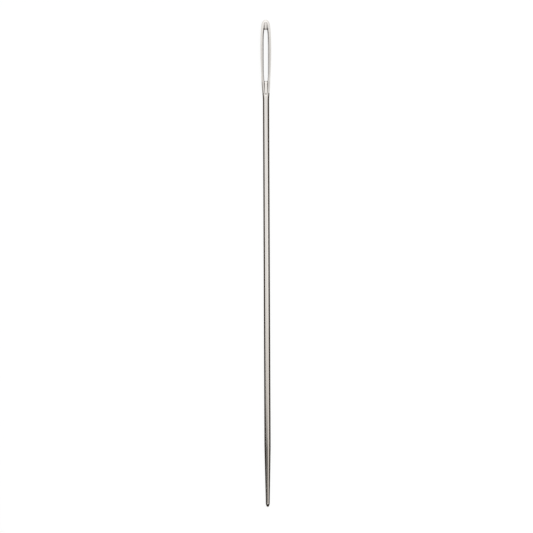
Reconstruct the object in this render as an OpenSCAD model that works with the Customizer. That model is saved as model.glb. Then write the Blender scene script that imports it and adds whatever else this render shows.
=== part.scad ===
// Yarn needle: one length of steel wire, ground to a blunt point at one end,
// and stamped flat and pierced with a long eye at the other.
// It lies along X on Z = 0, with its point at -X and its eye at +X, and the eye goes through along Z.
// The nodes are regions of that one piece of wire, and each meets the next face to face.

/* [Wire] */
// Overall length of the needle, from the point to the crown
needle_len = 127; // [90:1:180]
// Diameter of the wire, which is the diameter of the shank
wire_d = 1.65; // [1.5:0.01:1.9]

/* [Point] */
// Length of the ground taper between the shank and the nose
taper_len = 15; // [8:0.1:30]
// Diameter where the taper meets the nose
nose_d = 1.05; // [0.6:0.05:1.2]
// Length of the blunt rounded nose
nose_len = 1.05; // [0.5:0.05:2]

/* [Head] */
// Length of the head, from the top of the crown to the round shank
head_len = 21.2; // [20:0.1:24]
// Width of the head at its belly
head_w = 2.84; // [2.6:0.02:3.2]
// Width of the head where the eye ends and the shoulder begins
neck_w = 2.26; // [2.1:0.02:2.5]
// Thickness of the head between its two stamped faces
head_t = 1.3; // [1.1:0.02:1.5]

/* [Eye] */
// Metal left above the eye
crown_len = 2.75; // [2.25:0.05:3]
// Length of the eye
eye_len = 13.15; // [12:0.05:14]
// Width of the eye at its middle
eye_w = 1.12; // [0.9:0.02:1.3]

/* [Gutters] */
// Thickness of the web that is left between the upper and the lower gutter, beside the eye
web_t = 0.5; // [0.3:0.05:0.8]
// Depth of a gutter at its rounded end
gutter_end_depth = 0.1; // [0.02:0.02:0.2]
// Length of the gutter that runs up into the crown
crown_gutter_len = 2; // [1:0.1:2]
// Width of the crown's gutter
crown_gutter_w = 0.88; // [0.4:0.02:0.9]
// Length of the gutter that runs down the shoulder
shoulder_gutter_len = 3.6; // [2:0.1:4]
// Width of the shoulder's gutter beside the eye
shoulder_gutter_w = 0.84; // [0.4:0.02:0.9]
// Width of the shoulder's gutter at its rounded end
gutter_end_w = 0.64; // [0.2:0.02:0.8]

/* [Hidden] */
$fn = 96;
steel = [0.82, 0.79, 0.755];

wire_r = wire_d / 2;
x_tip = -needle_len / 2;
x_crown = needle_len / 2;
point_len = nose_len + taper_len;
shank_len = needle_len - point_len - head_len;

// Distances down from the top of the crown
eye_end = crown_len + eye_len;
belly = crown_len + 0.4 * eye_len;
crown_round = 1.5;
crown_gutter_top = crown_len - crown_gutter_len;
shoulder_gutter_end = min(eye_end + shoulder_gutter_len, head_len - 0.5);
sides_top = crown_len + 0.7;
sides_end = eye_end - 0.7;

nose_power = 0.62;       // 1 is a pointed ogive, and less is rounder
taper_power = 1.08;      // 1 is a straight cone, and more swells it
crown_power = 0.2;       // the smaller, the squarer the crown
corner_power = 0.2;      // the larger, the rounder the crown's corners
eye_power = 5.5;         // 2 is an ellipse, and more is squarer at the ends
crown_thinning = 0.5;    // share of the thickness that the crown loses at its top
runout = 0.99;           // share of the shank's radius at which the stamped face runs out
past = 1;                // how far a cutting shape runs past what it cuts

function mix(a, b, t) = a + (b - a) * t;
function ease(t) = t * t * (3 - 2 * t);
function rounded(t, power) = pow(1 - pow(1 - min(t, 1), 2), power);
function steps(n) = [for (i = [0:n]) i / n];
function x_at(down) = x_crown - down;
function flip_y(points) = [for (i = [len(points) - 1:-1:0]) [points[i][0], -points[i][1]]];

// Half the width of the head at a distance down from the crown
function head_half(down) =
    down <= belly ?
        head_w / 2 * rounded(down / belly, crown_power) * rounded(down / crown_round, corner_power)
    : down <= eye_end ? mix(head_w, neck_w, pow((down - belly) / (eye_end - belly), 1.6)) / 2
    : mix(neck_w, wire_d, ease((down - eye_end) / (head_len - eye_end))) / 2;

// Half the thickness of the head at a distance down from the crown
function face_half(down) =
    down <= crown_round ? head_t / 2 * (1 - crown_thinning * pow(1 - down / crown_round, 2))
    : down <= eye_end ? head_t / 2
    : mix(head_t / 2, wire_r * runout, ease((down - eye_end) / (head_len - eye_end)));

// Turns a profile of [radius, x] points about the needle's axis
module turned(profile) {
    translate([0, 0, wire_r]) rotate([0, 90, 0]) rotate_extrude() polygon(profile);
}

// Carries an outline of [x, height above the axis] points across the needle
module across(outline, width) {
    translate([0, 0, wire_r]) rotate([90, 0, 0]) linear_extrude(width, center = true) polygon(outline);
}

// Cuts or keeps an outline of [x, y] points right through the needle along Z
module through(outline) {
    translate([0, 0, wire_r]) linear_extrude(wire_d + 2 * past, center = true) polygon(outline);
}

// The stamped head with no eye: as wide as its plan and as thick as its side view
module head_blank() {
    rounding = [for (t = steps(18)) belly * (1 - cos(90 * t))];
    narrowing = [for (i = [1:8]) mix(belly, eye_end, i / 8), for (i = [1:12]) mix(eye_end, head_len, i / 12)];
    plan = [for (d = concat(rounding, narrowing)) [head_half(d), x_at(d)]];
    crown_top = [for (t = steps(8)) crown_round * t];
    shoulder_rise = [for (t = steps(10)) mix(eye_end, head_len, t)];
    face = [for (d = concat(crown_top, shoulder_rise)) [x_at(d), face_half(d)]];
    intersection() {
        turned(concat(plan, [[0, x_at(head_len)]]));
        across(concat(face, flip_y(face)), head_w + past);
    }
}

// The eye's outline, cut right through
module eye_cut() {
    middle = x_at(crown_len + eye_len / 2);
    through([for (a = [0:7.5:352.5])
        [middle + eye_len / 2 * sign(cos(a)) * pow(abs(cos(a)), 2 / eye_power),
         eye_w / 2 * sign(sin(a)) * pow(abs(sin(a)), 2 / eye_power)]]);
}

// A pair of gutters, above and below, that rise from the web beside the eye to a round end
module gutter_cut(deep, out, deep_w, out_w) {
    back = sign(deep - out) * out_w / 2;
    round_end = [for (a = [0:15:180]) [x_at(out + back * (1 - sin(a))), out_w / 2 * cos(a)]];
    wedge = [[x_at(deep), web_t / 2], [x_at(out), face_half(out) - gutter_end_depth],
             [x_at(out), wire_r + past], [x_at(deep), wire_r + past]];
    intersection() {
        through(concat([[x_at(deep), deep_w / 2]], round_end, [[x_at(deep), -deep_w / 2]]));
        union() {
            across(wedge, head_w);
            across(flip_y(wedge), head_w);
        }
    }
}

// The part of the pierced head between two distances down from the crown
module head_between(from, to) {
    difference() {
        intersection() {
            head_blank();
            translate([x_at(to), -head_w, -past]) cube([to - from, 2 * head_w, wire_d + 2 * past]);
        }
        eye_cut();
        gutter_cut(crown_len + 0.4, crown_gutter_top, crown_gutter_w, crown_gutter_w);
        gutter_cut(eye_end - 0.4, shoulder_gutter_end, shoulder_gutter_w, gutter_end_w);
    }
}

// The ground taper and the blunt nose
module point() {
    nose = [for (t = steps(14)) let (along = 1 - cos(90 * t))
        [nose_d / 2 * rounded(along, nose_power), x_tip + nose_len * along]];
    taper = [for (i = [1:10]) let (t = i / 10)
        [mix(nose_d / 2, wire_r, 1 - pow(1 - t, taper_power)), x_tip + nose_len + taper_len * t]];
    color(steel) turned(concat(nose, taper, [[0, x_tip + point_len]]));
}

// The round wire as drawn
module shank() {
    color(steel) translate([x_tip + point_len, 0, wire_r]) rotate([0, 90, 0])
        cylinder(h = shank_len, r = wire_r);
}

// The lower end of the head, with the gutter that leads out of the eye
module shoulder() {
    color(steel) head_between(sides_end, head_len);
}

// The metal on one side of the eye: 1 is the left, at +Y, and -1 is the right
module eye_side(side) {
    color(steel) intersection() {
        head_between(sides_top, sides_end);
        translate([x_at(eye_end), side > 0 ? 0 : -head_w, -past]) cube([eye_end, head_w, wire_d + 2 * past]);
    }
}

// The rounded end of the needle above the eye
module crown() {
    color(steel) head_between(0, sides_top);
}

point();
shank();
shoulder();
eye_side(1);  // eye_side_left
eye_side(-1);  // eye_side_right
crown();
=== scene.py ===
# %% [markdown]
# # A steel yarn needle
#
# The real needle is one length of steel wire. One end is ground to a long taper with a blunt nose, the
# other is stamped flat and pierced with a long eye, and the whole is polished and plated with nickel.
# The fixed frame already holds it as six plain regions. This notebook makes the skin that shows: one
# unbroken mesh from nose to crown, a plated metal, and a small photographic set to show the metal in.

# %% Load the frame
import math
from collections import namedtuple

import bmesh
import bpy
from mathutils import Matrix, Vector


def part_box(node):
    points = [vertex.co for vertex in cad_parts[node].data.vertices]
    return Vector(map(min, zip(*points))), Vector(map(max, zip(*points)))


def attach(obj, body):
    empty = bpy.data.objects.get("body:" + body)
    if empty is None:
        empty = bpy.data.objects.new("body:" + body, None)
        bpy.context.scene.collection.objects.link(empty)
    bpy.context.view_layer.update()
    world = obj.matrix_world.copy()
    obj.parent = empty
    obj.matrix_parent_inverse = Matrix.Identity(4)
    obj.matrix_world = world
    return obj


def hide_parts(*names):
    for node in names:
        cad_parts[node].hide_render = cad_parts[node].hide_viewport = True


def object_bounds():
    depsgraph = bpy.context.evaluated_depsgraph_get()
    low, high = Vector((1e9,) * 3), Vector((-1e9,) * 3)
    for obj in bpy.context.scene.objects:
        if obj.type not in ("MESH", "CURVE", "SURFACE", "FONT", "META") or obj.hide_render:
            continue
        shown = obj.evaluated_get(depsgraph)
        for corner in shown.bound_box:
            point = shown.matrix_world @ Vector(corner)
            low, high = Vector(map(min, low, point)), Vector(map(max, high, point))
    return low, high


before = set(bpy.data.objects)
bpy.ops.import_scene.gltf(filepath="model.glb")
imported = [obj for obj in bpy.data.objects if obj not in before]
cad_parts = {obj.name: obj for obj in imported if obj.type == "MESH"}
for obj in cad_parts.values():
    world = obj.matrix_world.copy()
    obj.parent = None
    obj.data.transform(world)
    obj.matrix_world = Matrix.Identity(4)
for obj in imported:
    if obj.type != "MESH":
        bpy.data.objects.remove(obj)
cad_low, cad_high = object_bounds()
MM = 0.001
print("the frame's box in mm:", [round(x / MM, 3) for x in (*cad_low, *cad_high)])

# %% [markdown]
# ## The driving sizes
#
# Every place along the needle comes from the frame: a region's box says where it begins and ends. The
# real needle has no such seams, so the boxes are only read, and the skin runs straight over them. The
# few sizes that a box can't give, such as the eye's width, are named here in millimetres.

# %% Sizes
point_low, point_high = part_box("point")
shank_low, shank_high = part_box("shank")
side_low, side_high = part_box("eye_side_left")

TIP_X = point_low.x
CROWN_X = cad_high.x
TAPER_X = shank_low.x
HEAD_X = shank_high.x
WIRE_R = (shank_high.z - shank_low.z) / 2
AXIS_Z = shank_low.z + WIRE_R
HEAD_HALF_W = side_high.y
HEAD_HALF_T = (side_high.z - side_low.z) / 2

NOSE_LEN = 1.05 * MM
NOSE_R = 0.525 * MM
CROWN_LEN = 2.75 * MM
CROWN_ROUND = 1.5 * MM
EYE_LEN = 13.15 * MM
EYE_HALF_W = 0.56 * MM
NECK_HALF_W = 1.13 * MM
WEB_HALF_T = 0.25 * MM
BELLY_SHARE = 0.4

HEAD_LEN = CROWN_X - HEAD_X
EYE_END = CROWN_LEN + EYE_LEN
BELLY = CROWN_LEN + BELLY_SHARE * EYE_LEN
print("wire radius %.3f mm, head %.2f mm wide" % (WIRE_R / MM, 2 * HEAD_HALF_W / MM))

# %% [markdown]
# ## How wide and how thick, anywhere along the head
#
# A stamped head has two outlines: its plan, which the photograph shows, and its side view. Both are
# written as formulas of the distance down from the top of the crown, so that the rings of the mesh may
# stand wherever the shape needs them. A table of measured points would be harder to read and to change.

# %% The head's outlines
CROWN_POWER = 0.2       # the smaller, the squarer the crown
CORNER_POWER = 0.2      # the larger, the rounder the crown's corners
NECK_POWER = 1.6        # the larger, the later the head narrows to its neck
CROWN_THINNING = 0.5    # the share of its thickness that the crown loses at its top


def mix(a, b, t):
    return a + (b - a) * t


def ease(t):
    return t * t * (3 - 2 * t)


def rounded(t, power):
    """Rises from 0 at a round end to 1, and stays there."""
    return (1 - (1 - min(t, 1.0)) ** 2) ** power


def head_half_width(down):
    if down < BELLY:
        return HEAD_HALF_W * rounded(down / BELLY, CROWN_POWER) * rounded(down / CROWN_ROUND, CORNER_POWER)
    if down < EYE_END:
        return mix(HEAD_HALF_W, NECK_HALF_W, ((down - BELLY) / (EYE_END - BELLY)) ** NECK_POWER)
    return mix(NECK_HALF_W, WIRE_R, ease((down - EYE_END) / (HEAD_LEN - EYE_END)))


def head_half_thickness(down):
    if down < CROWN_ROUND:
        return HEAD_HALF_T * (1 - CROWN_THINNING * (1 - down / CROWN_ROUND) ** 2)
    if down < EYE_END:
        return HEAD_HALF_T
    return mix(HEAD_HALF_T, WIRE_R, ease((down - EYE_END) / (HEAD_LEN - EYE_END)))


print("half widths in mm:", [round(head_half_width(d * MM) / MM, 2) for d in (1, 4, 8, 12, 16, 19)])

# %% [markdown]
# ## One ring of vertices, drawn out along the wire
#
# The wire is round, so the mesh starts from one circle at the nose. The circle is extruded from station
# to station, as wire is drawn, and each new ring is shaped to the needle's section there. The vertices
# nearest the middle line of each face have work to do on the head: they are the floor and the foot of a
# gutter, the rim of the gutter or the eye, the lip outside that rim, and the brow that ends the lip. The
# alternative, cutting the eye with a boolean, would leave long thin faces that shade badly in polished
# metal.

# %% Ring layout
RING = 48
HALF_RING = RING // 2
STEP = 2 * math.pi / RING
FLOOR, FOOT, RIM, LIP, BROW = range(5)
# A subdivided ring settles inside its vertices, so each radius is raised by the same share first.
# SNUG keeps the skin just inside the frame.
SNUG = 0.998
SWELL = SNUG * 3 / (2 + math.cos(STEP))


def ring_angle(i):
    """Vertex i's angle from straight up: the first and the last stand beside the top's middle line."""
    return (i + 0.5) * STEP


def from_middle(i):
    """How many vertices stand between vertex i and the middle line of its face."""
    return min(i % HALF_RING, HALF_RING - 1 - i % HALF_RING)


print("ring of", RING, "vertices, raised by %.4f" % SWELL)

# %% [markdown]
# ## The section at a station
#
# On the shank the section is a circle. On the head it is a flattened oval with blunt corners, which a
# superellipse gives with one number for its squareness: 2 is an ellipse, and more is squarer. A groove
# in it, which may be the eye or a gutter, sets the middle vertices of both faces to its own width and
# depth. It also gives the ring its painted shade: darkness painted into the metal's colour at the corners
# of a groove and along the eye's rim, and a lighter painted grey over the stamped faces, standing in for
# the dark reflections and shading there. The painted shade is kept on each vertex, outwards from the
# middle line, and the material reads it.

# %% The section
# A groove's shade is painted shade, one value a rank outwards from the middle line; the last value holds for
# every rank beyond.
Groove = namedtuple("Groove", "rim floor shade lip drop bow", defaults=(0.15 * MM, 0.0, 0.0))
FLOOR_SHARE, FOOT_SHARE, BROW_SHARE = 0.5, 0.72, 0.35
FOOT_BOW = 0.65


def blend(shade, other, t):
    """A painted shade between two, which are tuples of one length."""
    return tuple(mix(a, b, t) for a, b in zip(shade, other))


def oval(angle, half_w, half_t, square):
    """A point of a superellipse, with its angle measured from straight up."""
    s, c = math.sin(angle), math.cos(angle)
    return (half_w * math.copysign(abs(s) ** (2 / square), s),
            half_t * math.copysign(abs(c) ** (2 / square), c))


def oval_height(y, half_w, half_t, square):
    """How high a superellipse stands at a place across it."""
    return half_t * (1 - min(abs(y) / half_w, 1.0) ** square) ** (1 / square)


def groove_point(rank, groove, half_w, half_t, square):
    """How far across, how high and how far along a groove puts the vertex of that rank."""
    lip = groove.rim + groove.lip
    beyond_brow = oval(ring_angle(BROW + 1), half_w, half_t, square)[0]
    y = {FLOOR: FLOOR_SHARE * groove.rim, FOOT: FOOT_SHARE * groove.rim, RIM: groove.rim, LIP: lip,
         BROW: mix(lip, beyond_brow, BROW_SHARE)}[rank]
    surface = oval_height(y, half_w, half_t, square) * SNUG
    z = {FLOOR: groove.floor, FOOT: groove.floor, RIM: surface - groove.drop}.get(rank, surface)
    return y, z, groove.bow * {FLOOR: 1.0, FOOT: FOOT_BOW}.get(rank, 0.0)


# %% [markdown]
# ## Drawing out
#
# The extrude operator returns its new vertices in no promised order, so each one is found as the other
# end of the edge that grew from its own vertex. That keeps every ring in step with the first. The shade
# layer is added before any vertex, because a new layer would lose the vertices held in a list.

# %% Draw the ring out
bm = bmesh.new()
shade = bm.verts.layers.float.new("shade")
rings = []


def draw_out():
    """The first ring is a new circle, and each other is extruded from the last one, in the same order."""
    if not rings:
        return bmesh.ops.create_circle(bm, cap_ends=False, segments=RING, radius=1.0)["verts"]
    ring = rings[-1]
    edges = [bm.edges.get((ring[i], ring[(i + 1) % RING])) for i in range(RING)]
    grown = set(bmesh.ops.extrude_edge_only(bm, edges=edges)["geom"])
    return [next(e.other_vert(v) for e in v.link_edges if e.other_vert(v) in grown) for v in ring]


def next_ring(x, half_w, half_t, square=2.0, groove=None):
    """Draws out one more ring and shapes it to the section at x."""
    rings.append(draw_out())
    for i, vert in enumerate(rings[-1]):
        y, z = oval(ring_angle(i), half_w * SWELL, half_t * SWELL, square)
        along, rank = 0.0, from_middle(i)
        # Each vertex takes the groove's painted shade for its rank, and a ring without a groove takes none.
        vert[shade] = groove.shade[min(rank, len(groove.shade) - 1)] if groove else 0.0
        if groove and rank <= BROW:
            across, height, along = groove_point(rank, groove, half_w, half_t, square)
            y, z = math.copysign(across, y), math.copysign(height, z)
        vert.co = (x + along, y, AXIS_Z + z)


print("vertex layer", shade.name, "made")

# %% [markdown]
# ## The point and the shank
#
# The nose of a yarn needle is blunt, so that it slips between threads and doesn't split them. It is an
# ogive with a rounded tip. The taper behind it is ground on a wheel while the wire turns, which leaves
# it a little swollen rather than a straight cone. Two rings close together hold each place where one
# surface runs into the next, and plain wire needs few.

# %% Point and shank
NOSE_POWER = 0.62
TAPER_POWER = 1.08

for t in (0.02, 0.09, 0.2, 0.36, 0.56, 0.78, 0.95):
    radius = NOSE_R * rounded(t, NOSE_POWER)
    next_ring(TIP_X + t * NOSE_LEN, radius, radius)
for t in (0.0, 0.03, 0.12, 0.3, 0.5, 0.7, 0.88, 1.0):
    radius = mix(NOSE_R, WIRE_R, 1 - (1 - t) ** TAPER_POWER)
    next_ring(mix(TIP_X + NOSE_LEN, TAPER_X, t), radius, radius)
for t in (0.02, 0.25, 0.5, 0.75, 0.97, 1.0):
    next_ring(mix(TAPER_X, HEAD_X, t), WIRE_R, WIRE_R)
print(len(rings), "rings up to the head")

# %% [markdown]
# ## Gutters
#
# A gutter runs out of each end of the eye on both faces, so that yarn lying in it makes no lump. Beside
# the eye it is as deep as the web there allows. It rises from the web to a rounded end, where the die
# leaves a small step. One function gives the groove at any distance down, for both gutters. A gutter is
# handed over as two cross-sections, at its round end and beside the eye, and is blended between them.

# %% Gutter
GUTTER_END_DEPTH = 0.1 * MM
STEP_LEN = 0.12 * MM
GutterEnd = namedtuple("GutterEnd", "down half_w shade")


def gutter(down, out, deep, half_t):
    """The groove of a gutter between its round end, out, and its end at the eye, deep."""
    from_end = abs(down - out.down)
    run = from_end / abs(deep.down - out.down)
    rim = mix(out.half_w, deep.half_w, run) * rounded(from_end / out.half_w, 0.5)
    end_depth = GUTTER_END_DEPTH * rounded(from_end / STEP_LEN, 0.5)
    return Groove(rim, mix(half_t * SNUG - end_depth, WEB_HALF_T, run), blend(out.shade, deep.shade, run))


# %% [markdown]
# ## The shoulder
#
# The shoulder widens from the round wire to the stamped head, and the circle turns into the squarer
# oval over the same length. The shank's radius is met without a corner. The gutter's floor is left
# without painted shade except at its round end, and its walls are painted dark, less so at its mouth,
# where the eye begins.

# %% Shoulder
SQUARE = 3.2
# The painted shade at each end of the gutter, by rank outwards from the middle line.
SHOULDER_GUTTER = (GutterEnd(EYE_END + 3.6 * MM, 0.33 * MM, (0.55, 0.75, 0.4, 0.1, 0.2, 0.25, 0.25)),
                   GutterEnd(EYE_END, 0.43 * MM, (0.0, 1.0, 1.0, 0.4, 0.3, 0.3, 0.25)))
UNSHADED_FLOOR_FROM = 0.4 * MM
PALE_MOUTH = 0.5 * MM
MOUTH_FOOT_SHARE, MOUTH_RIM_SHARE = 0.5, 0.4


def shoulder_section(down):
    t = (down - EYE_END) / (HEAD_LEN - EYE_END)
    return head_half_width(down), head_half_thickness(down), mix(SQUARE, 2.0, ease(t))


for down in (20.95, 20.5, 20.0, 19.65):
    next_ring(CROWN_X - down * MM, *shoulder_section(down * MM))
for from_end in (0.02, 0.1, 0.22, 0.45, 0.9, 1.5, 2.1, 2.7, 3.25):
    down = SHOULDER_GUTTER[0].down - from_end * MM
    section = shoulder_section(down)
    groove = gutter(down, *SHOULDER_GUTTER, section[1])
    # A little way past the round end the floor loses its painted shade, and at the mouth the walls' painted
    # shade is lessened.
    floor, foot, rim, *outer = groove.shade
    if from_end * MM > UNSHADED_FLOOR_FROM:
        floor = 0.0
    if down - EYE_END < PALE_MOUTH:
        foot, rim = MOUTH_FOOT_SHARE * foot, MOUTH_RIM_SHARE * rim
    next_ring(CROWN_X - down, *section, groove._replace(shade=(floor, foot, rim, *outer)))
print(len(rings), "rings up to the eye")

# %% [markdown]
# ## The eye's two sides
#
# Between its ends the head is two side walls. Their rings are made whole, with the rims at the eye's
# own half width and a little below the face, because the punch and the tumbling round that edge. At
# each end of the eye the web bows outwards and its edge is drawn down by the punch. What lies between
# the rims is cut away afterwards.

# %% Eye sides
EYE_SQUARE = 5.5
EYE_LIP = 0.22 * MM
RIM_DROP = 0.12 * MM
END_DROP = 0.3 * RIM_DROP
END_HALF_W = 0.42 * MM
END_BOW = 0.1 * MM
END_FLOOR = 0.13 * MM
# Painted shade beside the eye, by rank outwards from the middle line: darkest at the rim and lip, and a
# light painted grey over the stamped face beyond.
MOUTH_SHADE = (0.15, 0.3, 0.4, 0.35, 0.3, 0.15, 0.1)
SHOULDER_SHADE = (0.3, 0.6, 0.5, 0.45, 0.3, 0.15, 0.1)
MIDDLE_SHADE = (0.7, 0.7, 0.7, 0.55, 0.4, 0.2, 0.15)
CROWN_SHADE = (0.45, 1.0, 1.0, 1.0, 0.1, 0.1, 0.15)
SHOULDER_REACH, CROWN_REACH = 0.15, 0.4


def eye_half_width(down):
    along = abs(down - CROWN_LEN - EYE_LEN / 2) / (EYE_LEN / 2)
    return max(EYE_HALF_W * (1 - along ** EYE_SQUARE) ** (1 / EYE_SQUARE), END_HALF_W)


def eye_shade(t):
    """The painted shade beside the eye: t is 0 at the shoulder and 1 at the crown."""
    if t < 0.5:
        return blend(SHOULDER_SHADE, MIDDLE_SHADE, ease(min(t / SHOULDER_REACH, 1.0)))
    return blend(CROWN_SHADE, MIDDLE_SHADE, ease(min((1 - t) / CROWN_REACH, 1.0)))


def head_ring(down, groove=None, square=SQUARE):
    next_ring(CROWN_X - down, head_half_width(down), head_half_thickness(down), square, groove)


head_ring(EYE_END, Groove(END_HALF_W, END_FLOOR, MOUTH_SHADE, drop=END_DROP, bow=-END_BOW))
eye_from = len(rings) - 1
for t in (0.015, 0.04, 0.09, 0.17, 0.3, 0.5, 0.7, 0.83, 0.91, 0.96, 0.985):
    down = mix(EYE_END, CROWN_LEN, t)
    head_ring(down, Groove(eye_half_width(down), WEB_HALF_T, eye_shade(t), EYE_LIP, RIM_DROP))

# %% [markdown]
# ## The crown
#
# Above the eye the two faces close over a second gutter, and the outline rounds off. This gutter's
# floor is left bright too, and its walls are painted dark. For its last half millimetre at the eye the
# floor is painted dark as well and made rougher. The last ring is small and close to the top, and one
# face closes it.

# %% Crown
# The painted shade at each end of the gutter, by rank outwards from the middle line.
CROWN_GUTTER = (GutterEnd(0.75 * MM, 0.41 * MM, (0.0, 0.35, 0.3, 0.1, 0.15, 0.15, 0.15)),
                GutterEnd(CROWN_LEN, 0.46 * MM, (0.0, 1.0, 1.0, 0.35, 0.12, 0.12, 0.12)))
SHADED_BY_EYE = 0.4 * MM

head_ring(CROWN_LEN, Groove(CROWN_GUTTER[1].half_w, END_FLOOR, CROWN_SHADE, drop=END_DROP, bow=END_BOW))
eye_to = len(rings) - 1
for from_end in (1.85, 1.65, 1.4, 1.1, 0.8, 0.5, 0.3, 0.12, 0.02):
    down = CROWN_GUTTER[0].down + from_end * MM
    groove = gutter(down, *CROWN_GUTTER, head_half_thickness(down))
    # The last part beside the eye takes the crown's full painted shade.
    if CROWN_LEN - down < SHADED_BY_EYE:
        groove = groove._replace(shade=CROWN_SHADE)
    head_ring(down, groove)
for down, square in ((0.55, 2.9), (0.36, 2.6), (0.2, 2.4), (0.09, 2.2), (0.02, 2.1)):
    head_ring(down * MM, square=square)
print(len(rings), "rings, with the eye between ring", eye_from, "and ring", eye_to)

# %% [markdown]
# ## Closing the ends and piercing the eye
#
# The two ends are closed first, so that the only open edges left are those of the eye. The faces
# between the rims come out of the top and the bottom, and a bridge between the two holes makes the
# eye's wall all round in one step. The wall is then cut into four across its height, so that the
# subdivision keeps it upright and rounds only its edges.

# %% Close the ends and pierce the eye
WALL_CUTS = 3
# The eye's wall is given full painted shade.
WALL_SHADE = 1.0

for ring in (rings[0], rings[-1]):
    bmesh.ops.contextual_create(bm, geom=[bm.edges.get((ring[i - 1], ring[i])) for i in range(RING)])

cut_out = []
for lower, upper in zip(rings[eye_from:eye_to], rings[eye_from + 1:eye_to + 1]):
    for middle in (0, HALF_RING):
        for i in range(middle - RIM - 1, middle + RIM):
            cut_out.append(bm.faces.get((lower[i], lower[i + 1], upper[i + 1], upper[i])))
bmesh.ops.delete(bm, geom=cut_out, context="FACES")

open_edges = [e for e in bm.edges if e.is_boundary]
wall = bmesh.ops.bridge_loops(bm, edges=open_edges)
cut = bmesh.ops.subdivide_edges(bm, edges=wall["edges"], cuts=WALL_CUTS, use_grid_fill=True)
wall_verts = [v for v in cut["geom_inner"] if isinstance(v, bmesh.types.BMVert)]
for v in wall_verts:
    v[shade] = WALL_SHADE
bmesh.ops.recalc_face_normals(bm, faces=bm.faces)
print(len(cut_out), "faces cut out,", len(wall["faces"]), "in the wall,", len(wall_verts), "vertices in it")
print("open edges left:", sum(e.is_boundary for e in bm.edges),
      "  faces that aren't quads:", sum(len(f.verts) != 4 for f in bm.faces))

# %% [markdown]
# ## The finished skin
#
# Subdivision turns the rings into smooth steel. Two levels leave the edges of the facets far below
# what any view can show, at about ninety thousand triangles.

# %% Make the needle
SMOOTH_LEVELS = 2

for face in bm.faces:
    face.smooth = True
mesh = bpy.data.meshes.new("needle")
bm.to_mesh(mesh)
bm.free()
needle = bpy.data.objects.new("needle", mesh)
bpy.context.scene.collection.objects.link(needle)
smooth = needle.modifiers.new("smooth", "SUBSURF")
smooth.levels = smooth.render_levels = SMOOTH_LEVELS
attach(needle, "root")
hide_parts("point", "shank", "shoulder", "eye_side_left", "eye_side_right", "crown")

# %% [markdown]
# ## Bright nickel plate
#
# The finish is a polished metal, a little warm, as nickel is beside chromium. It is polished
# lengthwise, so its fine lines run along X: a noise stretched a long way along X gives them, both as a
# change of roughness and as a very shallow bump. Wider, fainter streaks change the tone. Where the
# painted shade is, the metal's colour is darkened towards a near black, a little less in random specks,
# and the metal is rougher.


# %% Material helpers
def add(tree, kind, inputs=None, **settings):
    """Adds a node. inputs holds a value or a link for each named socket."""
    node = tree.nodes.new(kind)
    for name, value in settings.items():
        setattr(node, name, value)
    for name, value in (inputs or {}).items():
        socket = node.inputs[name]
        if isinstance(value, bpy.types.NodeSocket):
            tree.links.new(value, socket)
        else:
            socket.default_value = value
    return node


def new_material(name):
    """An empty node material and its output node."""
    material = bpy.data.materials.new(name)
    material.use_nodes = True
    material.node_tree.nodes.clear()
    return material, add(material.node_tree, "ShaderNodeOutputMaterial")


def along_x(tree, coords, width, length):
    """Noise whose grains are that wide and that long, in metres, along X."""
    stretched = add(tree, "ShaderNodeMapping", {"Vector": coords, "Scale": (width / length, 1.0, 1.0)})
    noise = add(tree, "ShaderNodeTexNoise", {"Vector": stretched.outputs["Vector"], "Scale": 1 / width,
                                             "Detail": 3.0, "Roughness": 0.6})
    return noise.outputs["Fac"]


def ramp(tree, value, low, high, to_low, to_high):
    """Carries a value from one range to another, and stops at its ends."""
    node = add(tree, "ShaderNodeMapRange", {"Value": value, "From Min": low, "From Max": high,
                                            "To Min": to_low, "To Max": to_high})
    return node.outputs["Result"]


# %% Nickel plate
NICKEL = (0.82, 0.79, 0.755, 1.0)
NICKEL_DULL = (0.72, 0.69, 0.65, 1.0)
# The near black that the painted shade darkens the metal's colour towards.
PAINTED_SHADE_COLOUR = (0.065, 0.054, 0.05, 1.0)
LINE_SIZE = (0.05 * MM, 7 * MM)
STREAK_SIZE = (0.3 * MM, 45 * MM)
SPECK_SIZE = (0.4 * MM, 0.8 * MM)
NOISE_LOW, NOISE_HIGH = 0.3, 0.7
STREAK_LOW, STREAK_MOST = 0.4, 0.5
SPECK_LEAST = 0.8
SMOOTHEST, ROUGHEST, ROUGHER_IN_GROOVE = 0.08, 0.15, 0.22
LINE_STRENGTH, LINE_DEPTH = 0.15, 0.003 * MM


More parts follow.
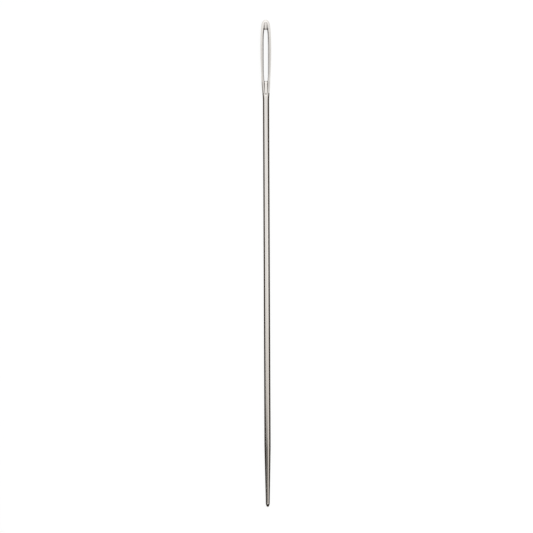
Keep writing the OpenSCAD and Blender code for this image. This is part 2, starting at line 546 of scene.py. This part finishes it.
def nickel_plate():
    material, out = new_material("polished_nickel")
    tree = material.node_tree
    coords = add(tree, "ShaderNodeTexCoord").outputs["Object"]
    lines = along_x(tree, coords, *LINE_SIZE)
    streaks = along_x(tree, coords, *STREAK_SIZE)
    specks = along_x(tree, coords, *SPECK_SIZE)
    # The vertex layer of painted shade, which darkens the colour and roughens the metal.
    painted_shade_mask = add(tree, "ShaderNodeAttribute", attribute_name="shade").outputs["Fac"]

    streaked = ramp(tree, streaks, STREAK_LOW, NOISE_HIGH, 0.0, STREAK_MOST)
    tone = add(tree, "ShaderNodeMix", {"Factor": streaked, "A": NICKEL, "B": NICKEL_DULL},
               data_type="RGBA")
    speckled = ramp(tree, specks, NOISE_LOW, NOISE_HIGH, SPECK_LEAST, 1.0)
    # How far the painted shade darkens the colour, a little less in random specks.
    painted_shade_amount = add(tree, "ShaderNodeMath", {0: painted_shade_mask, 1: speckled}, operation="MULTIPLY")
    colour = add(tree, "ShaderNodeMix", {"Factor": painted_shade_amount.outputs[0], "A": tone.outputs["Result"],
                                         "B": PAINTED_SHADE_COLOUR}, data_type="RGBA")
    polish = ramp(tree, lines, NOISE_LOW, NOISE_HIGH, SMOOTHEST, ROUGHEST)
    rough = add(tree, "ShaderNodeMath", {0: painted_shade_mask, 1: ROUGHER_IN_GROOVE, 2: polish},
                operation="MULTIPLY_ADD")
    bump = add(tree, "ShaderNodeBump", {"Height": lines, "Strength": LINE_STRENGTH, "Distance": LINE_DEPTH})
    steel = add(tree, "ShaderNodeBsdfPrincipled", {
        "Base Color": colour.outputs["Result"], "Metallic": 1.0, "Roughness": rough.outputs[0],
        "Normal": bump.outputs["Normal"]})
    tree.links.new(steel.outputs["BSDF"], out.inputs["Surface"])
    return material


needle.data.materials.append(nickel_plate())
print("nickel plate made")

# %% [markdown]
# ## The floor and the room
#
# The needle lies on a white surface in a white room. The white is the surface's own: the camera and
# the polished metal see it at full strength, while the light that falls on the needle stays plain. A
# small share of the floor's own shading is kept, and with it the needle's soft shadow.

# %% Floor and world
FLOOR_HALF = 3.0
SHADOW_SHARE = 0.12
ROOM_LIGHT = 0.7
WHITE = (1.0, 1.0, 1.0, 1.0)
PAPER = (0.9, 0.9, 0.9, 1.0)


def seen_directly(tree):
    """1 for camera, glossy and transmission rays, and 0 for the light that falls on things."""
    path = add(tree, "ShaderNodeLightPath").outputs
    two = add(tree, "ShaderNodeMath", {0: path["Is Camera Ray"], 1: path["Is Glossy Ray"]},
              operation="MAXIMUM")
    three = add(tree, "ShaderNodeMath", {0: two.outputs[0], 1: path["Is Transmission Ray"]},
                operation="MAXIMUM")
    return three.outputs[0]


def white_floor():
    material, out = new_material("white_floor")
    tree = material.node_tree
    paper = add(tree, "ShaderNodeBsdfDiffuse", {"Color": PAPER})
    glow = add(tree, "ShaderNodeEmission", {"Color": WHITE, "Strength": 1.0})
    share = add(tree, "ShaderNodeMath", {0: seen_directly(tree), 1: 1 - SHADOW_SHARE}, operation="MULTIPLY")
    both = add(tree, "ShaderNodeMixShader", {0: share.outputs[0], 1: paper.outputs["BSDF"],
                                             2: glow.outputs["Emission"]})
    tree.links.new(both.outputs["Shader"], out.inputs["Surface"])
    return material


def panel(name, corners, material):
    """A flat four-cornered piece of the set, which isn't part of the needle."""
    sheet = bmesh.new()
    bmesh.ops.contextual_create(sheet, geom=[sheet.verts.new(c) for c in corners])
    data = bpy.data.meshes.new(name)
    sheet.to_mesh(data)
    sheet.free()
    data.materials.append(material)
    made = bpy.data.objects.new(name, data)
    bpy.context.scene.collection.objects.link(made)
    return made


def square_corners(low_x, high_x, low_y, high_y, z):
    return [(low_x, low_y, z), (high_x, low_y, z), (high_x, high_y, z), (low_x, high_y, z)]


panel("floor", square_corners(-FLOOR_HALF, FLOOR_HALF, -FLOOR_HALF, FLOOR_HALF, 0.0), white_floor())

world = bpy.data.worlds.new("room")
bpy.context.scene.world = world
world.use_nodes = True
world.node_tree.nodes.clear()
room_level = ramp(world.node_tree, seen_directly(world.node_tree), 0.0, 1.0, ROOM_LIGHT, 1.0)
room = add(world.node_tree, "ShaderNodeBackground", {"Color": WHITE, "Strength": room_level})
world_out = add(world.node_tree, "ShaderNodeOutputWorld")
world.node_tree.links.new(room.outputs["Background"], world_out.inputs["Surface"])

# %% [markdown]
# ## Cards for the metal to mirror
#
# Polished metal shows only what stands round it, so photographers of cutlery and needles hang a pale
# cloth overhead and set dark cards at each side. The needle's top then mirrors the cloth and its
# flanks mirror the cards, which draws the dark outline that a white background would swallow. The
# cloth here is a little brighter on the right, but darker there over the head. It is brightest beyond
# the eye, and it fades and grows warmer towards the point. A soft dark strip hangs across its left part,
# which the lower shank and the taper mirror, and a small dark board just beyond the point blackens the
# nose. The right card rises more steeply, so its dark edge is wider. Both stop short of the head, and
# the left one goes on beside the shoulder as a paler one, which fades towards white. The camera sees
# none of them, and none throws a shadow.
#
# Every level is worked out from the X and the Y of a place on the card. Places along and across the
# cloth are in metres, as its corners are.

# %% Cloth, board and cards
CLOTH_HEIGHT = 0.30
CLOTH_FROM_X, CLOTH_TO_X = -0.15, 0.40
CLOTH_HALF_Y = 0.60
CLOTH_LEFT, CLOTH_RIGHT, CLOTH_RIGHT_OVER_HEAD = 0.96, 1.1, 0.86
HEAD_FROM_X, HEAD_TO_X = 0.036, 0.048
RIGHT_FROM_Y, RIGHT_TO_Y = -0.16, -0.06
CLOTH_BEYOND_EYE = 1.3
EYE_FROM_X, EYE_TO_X = 0.085, 0.11
CLOTH_AT_SHANK_END = 0.74
FADE_FROM_X, FADE_TO_X = -0.05, 0.0
CLOTH_BEYOND_POINT, POINT_SOFT = 0.7, 0.015
WARM_FROM_X, WARM_TO_X = -0.08, 0.01
STRIP_DARKENS = 0.8
STRIP_FROM_X, STRIP_SOFT_FROM, STRIP_TO_X, STRIP_SOFT_TO = -0.1, 0.012, -0.044, 0.032
STRIP_WHOLE_FROM_Y, STRIP_WHOLE_TO_Y = 0.05, 0.15
STRIP_RIGHT_FROM_Y, STRIP_RIGHT_TO_Y = -0.14, -0.01
BOARD_LEVEL = 0.04
BOARD_FROM_POINT, BOARD_HALF_Y, BOARD_HEIGHT = 5 * MM, 15 * MM, 17 * MM
WARM_CLOTH = (1.0, 0.95, 0.89, 1.0)
CARD_TINT = (1.0, 0.82, 0.64, 1.0)
CARD_GAP, CARD_OFF_FLOOR = 1.1 * MM, 0.05 * MM
CARD_REACH = 60 * MM
LEFT_RISE, RIGHT_RISE = math.radians(27), math.radians(31.5)
CARD_NEAR_EYE = 0.07
CARD_NEAR_POINT = 0.025
PALE_CARD_DARKEST, PALE_CARD_LIGHTEST = 0.36, 0.95
DARK_CARDS_DOWN, PALE_CARD_DOWN, PALE_CARD_FADE = 19.2 * MM, 14.6 * MM, 2.2 * MM


def ramp_over(tree, value, low, high, to_low, to_high):
    """A ramp that eases in and out."""
    node = add(tree, "ShaderNodeMapRange", {"Value": value, "From Min": low, "From Max": high,
                                            "To Min": to_low, "To Max": to_high},
               interpolation_type="SMOOTHSTEP")
    return node.outputs["Result"]


def times(tree, *values):
    """The product of several links or values."""
    product = values[0]
    for value in values[1:]:
        product = add(tree, "ShaderNodeMath", {0: product, 1: value}, operation="MULTIPLY").outputs[0]
    return product


def glowing(name, level, tint=CARD_TINT):
    """A material that glows by a level, which is worked out from its X and Y, in one tint."""
    material, out = new_material(name)
    tree = material.node_tree
    coords = add(tree, "ShaderNodeTexCoord").outputs["Object"]
    place = add(tree, "ShaderNodeSeparateXYZ", {"Vector": coords}).outputs
    if callable(tint):
        tint = tint(tree, place["X"])
    glow = add(tree, "ShaderNodeEmission", {"Color": tint, "Strength": level(tree, place["X"], place["Y"])})
    tree.links.new(glow.outputs["Emission"], out.inputs["Surface"])
    return material


def cloth_level(tree, x, y):
    right = ramp(tree, x, HEAD_FROM_X, HEAD_TO_X, CLOTH_RIGHT, CLOTH_RIGHT_OVER_HEAD)
    sides = ramp_over(tree, y, RIGHT_FROM_Y, RIGHT_TO_Y, right, CLOTH_LEFT)
    fading = ramp(tree, x, FADE_FROM_X, FADE_TO_X, CLOTH_AT_SHANK_END, 1.0)
    beyond_eye = ramp(tree, x, EYE_FROM_X, EYE_TO_X, 1.0, CLOTH_BEYOND_EYE)
    beyond_point = ramp(tree, x, STRIP_FROM_X, STRIP_FROM_X + POINT_SOFT, CLOTH_BEYOND_POINT, 1.0)
    strip_from = add(tree, "ShaderNodeMath", {
        0: ramp_over(tree, x, STRIP_FROM_X, STRIP_FROM_X + STRIP_SOFT_FROM, 0.0, 1.0),
        1: ramp_over(tree, y, STRIP_WHOLE_FROM_Y, STRIP_WHOLE_TO_Y, 0.0, 1.0)}, operation="MAXIMUM")
    strip = times(tree, strip_from.outputs[0],
                  ramp_over(tree, x, STRIP_TO_X - STRIP_SOFT_TO, STRIP_TO_X, 1.0, 0.0),
                  ramp_over(tree, y, STRIP_RIGHT_FROM_Y, STRIP_RIGHT_TO_Y, 0.0, 1.0))
    return times(tree, sides, fading, beyond_eye, beyond_point,
                 ramp(tree, strip, 0.0, 1.0, 1.0, 1.0 - STRIP_DARKENS))


def cloth_tint(tree, x):
    cool = ramp(tree, x, WARM_FROM_X, WARM_TO_X, 0.0, 1.0)
    tint = add(tree, "ShaderNodeMix", {"Factor": cool, "A": WARM_CLOTH, "B": WHITE}, data_type="RGBA")
    return tint.outputs["Result"]


def card_level(tree, x, y):
    return ramp(tree, x, TIP_X, HEAD_X, CARD_NEAR_POINT, CARD_NEAR_EYE)


def pale_card_level(tree, x, y):
    top = CROWN_X - PALE_CARD_DOWN
    return ramp(tree, x, top - PALE_CARD_FADE, top, PALE_CARD_DARKEST, PALE_CARD_LIGHTEST)


def mirrored_only(made):
    """The metal sees it; the camera and the floor don't."""
    made.visible_camera = made.visible_diffuse = made.visible_shadow = False


def side_card(name, side, from_x, to_x, paint):
    """A card that rises outwards from beside the needle, between two places along it."""
    rise = LEFT_RISE if side > 0 else RIGHT_RISE
    near, far = side * CARD_GAP, side * (CARD_GAP + CARD_REACH * math.cos(rise))
    low, high = CARD_OFF_FLOOR, CARD_REACH * math.sin(rise)
    mirrored_only(panel(name, [(from_x, near, low), (to_x, near, low), (to_x, far, high),
                               (from_x, far, high)], paint))


mirrored_only(panel("cloth", square_corners(CLOTH_FROM_X, CLOTH_TO_X, -CLOTH_HALF_Y, CLOTH_HALF_Y,
                                            CLOTH_HEIGHT), glowing("cloth", cloth_level, cloth_tint)))
board_x = TIP_X - BOARD_FROM_POINT
mirrored_only(panel("board", [(board_x, -BOARD_HALF_Y, 0.0), (board_x, BOARD_HALF_Y, 0.0),
                              (board_x, BOARD_HALF_Y, BOARD_HEIGHT), (board_x, -BOARD_HALF_Y, BOARD_HEIGHT)],
                    glowing("board", lambda tree, x, y: BOARD_LEVEL)))
dark_card = glowing("dark_card", card_level)
pale_card = glowing("pale_card", pale_card_level, WARM_CLOTH)
side_card("card_left", 1, TIP_X - CARD_REACH, CROWN_X - DARK_CARDS_DOWN, dark_card)
side_card("card_right", -1, TIP_X - CARD_REACH, CROWN_X - DARK_CARDS_DOWN, dark_card)
side_card("card_left_pale", 1, CROWN_X - DARK_CARDS_DOWN, CROWN_X - PALE_CARD_DOWN, pale_card)

# %% [markdown]
# ## The lamp
#
# One wide area lamp overhead gives the floor its soft shadow. It is hidden from the metal, which has
# the cloth to mirror in its place.

# %% Lamp
LAMP_SIZE = 0.8
LAMP_X, LAMP_Y, LAMP_HEIGHT = 0.15, -0.25, 0.9
LAMP_WATTS = 6.0

lamp_data = bpy.data.lights.new("overhead", "AREA")
lamp_data.shape = "SQUARE"
lamp_data.size = LAMP_SIZE
lamp_data.energy = LAMP_WATTS
lamp = bpy.data.objects.new("overhead", lamp_data)
lamp.location = (LAMP_X, LAMP_Y, LAMP_HEIGHT)
lamp.rotation_euler = (math.atan2(LAMP_Y, LAMP_HEIGHT), math.atan2(LAMP_X, LAMP_HEIGHT), 0.0)
lamp.visible_glossy = False
bpy.context.scene.collection.objects.link(lamp)

# %% [markdown]
# ## The camera
#
# The photograph was taken from straight above with a long lens. The needle stands upright in it with
# its eye at the top, leaning a quarter of a degree, and a little above the middle. The camera's
# distance follows from the length that the frame covers, so that the needle is as long in the render.

# %% Camera
LENS = 200.0
SENSOR = 36.0
PHOTO_SIDE = 533
NEEDLE_PIXELS = 487.5
MIDDLE_PIXEL = (266.75, 263.45)
LEAN = math.radians(0.25)

pixel = (CROWN_X - TIP_X) / NEEDLE_PIXELS
across = pixel * (MIDDLE_PIXEL[0] - PHOTO_SIDE / 2)
above = pixel * (PHOTO_SIDE / 2 - MIDDLE_PIXEL[1])
camera_data = bpy.data.cameras.new("camera")
camera_data.lens, camera_data.sensor_width = LENS, SENSOR
camera = bpy.data.objects.new("camera", camera_data)
camera.location = (-above, across, AXIS_Z + pixel * PHOTO_SIDE * LENS / SENSOR)
camera.rotation_euler = (0.0, 0.0, -math.pi / 2 - LEAN)
bpy.context.scene.collection.objects.link(camera)
bpy.context.scene.camera = camera
bpy.context.scene.view_settings.view_transform = "Standard"
print("camera %.3f m up, %.4f mm a pixel" % (camera.location.z, pixel / MM))
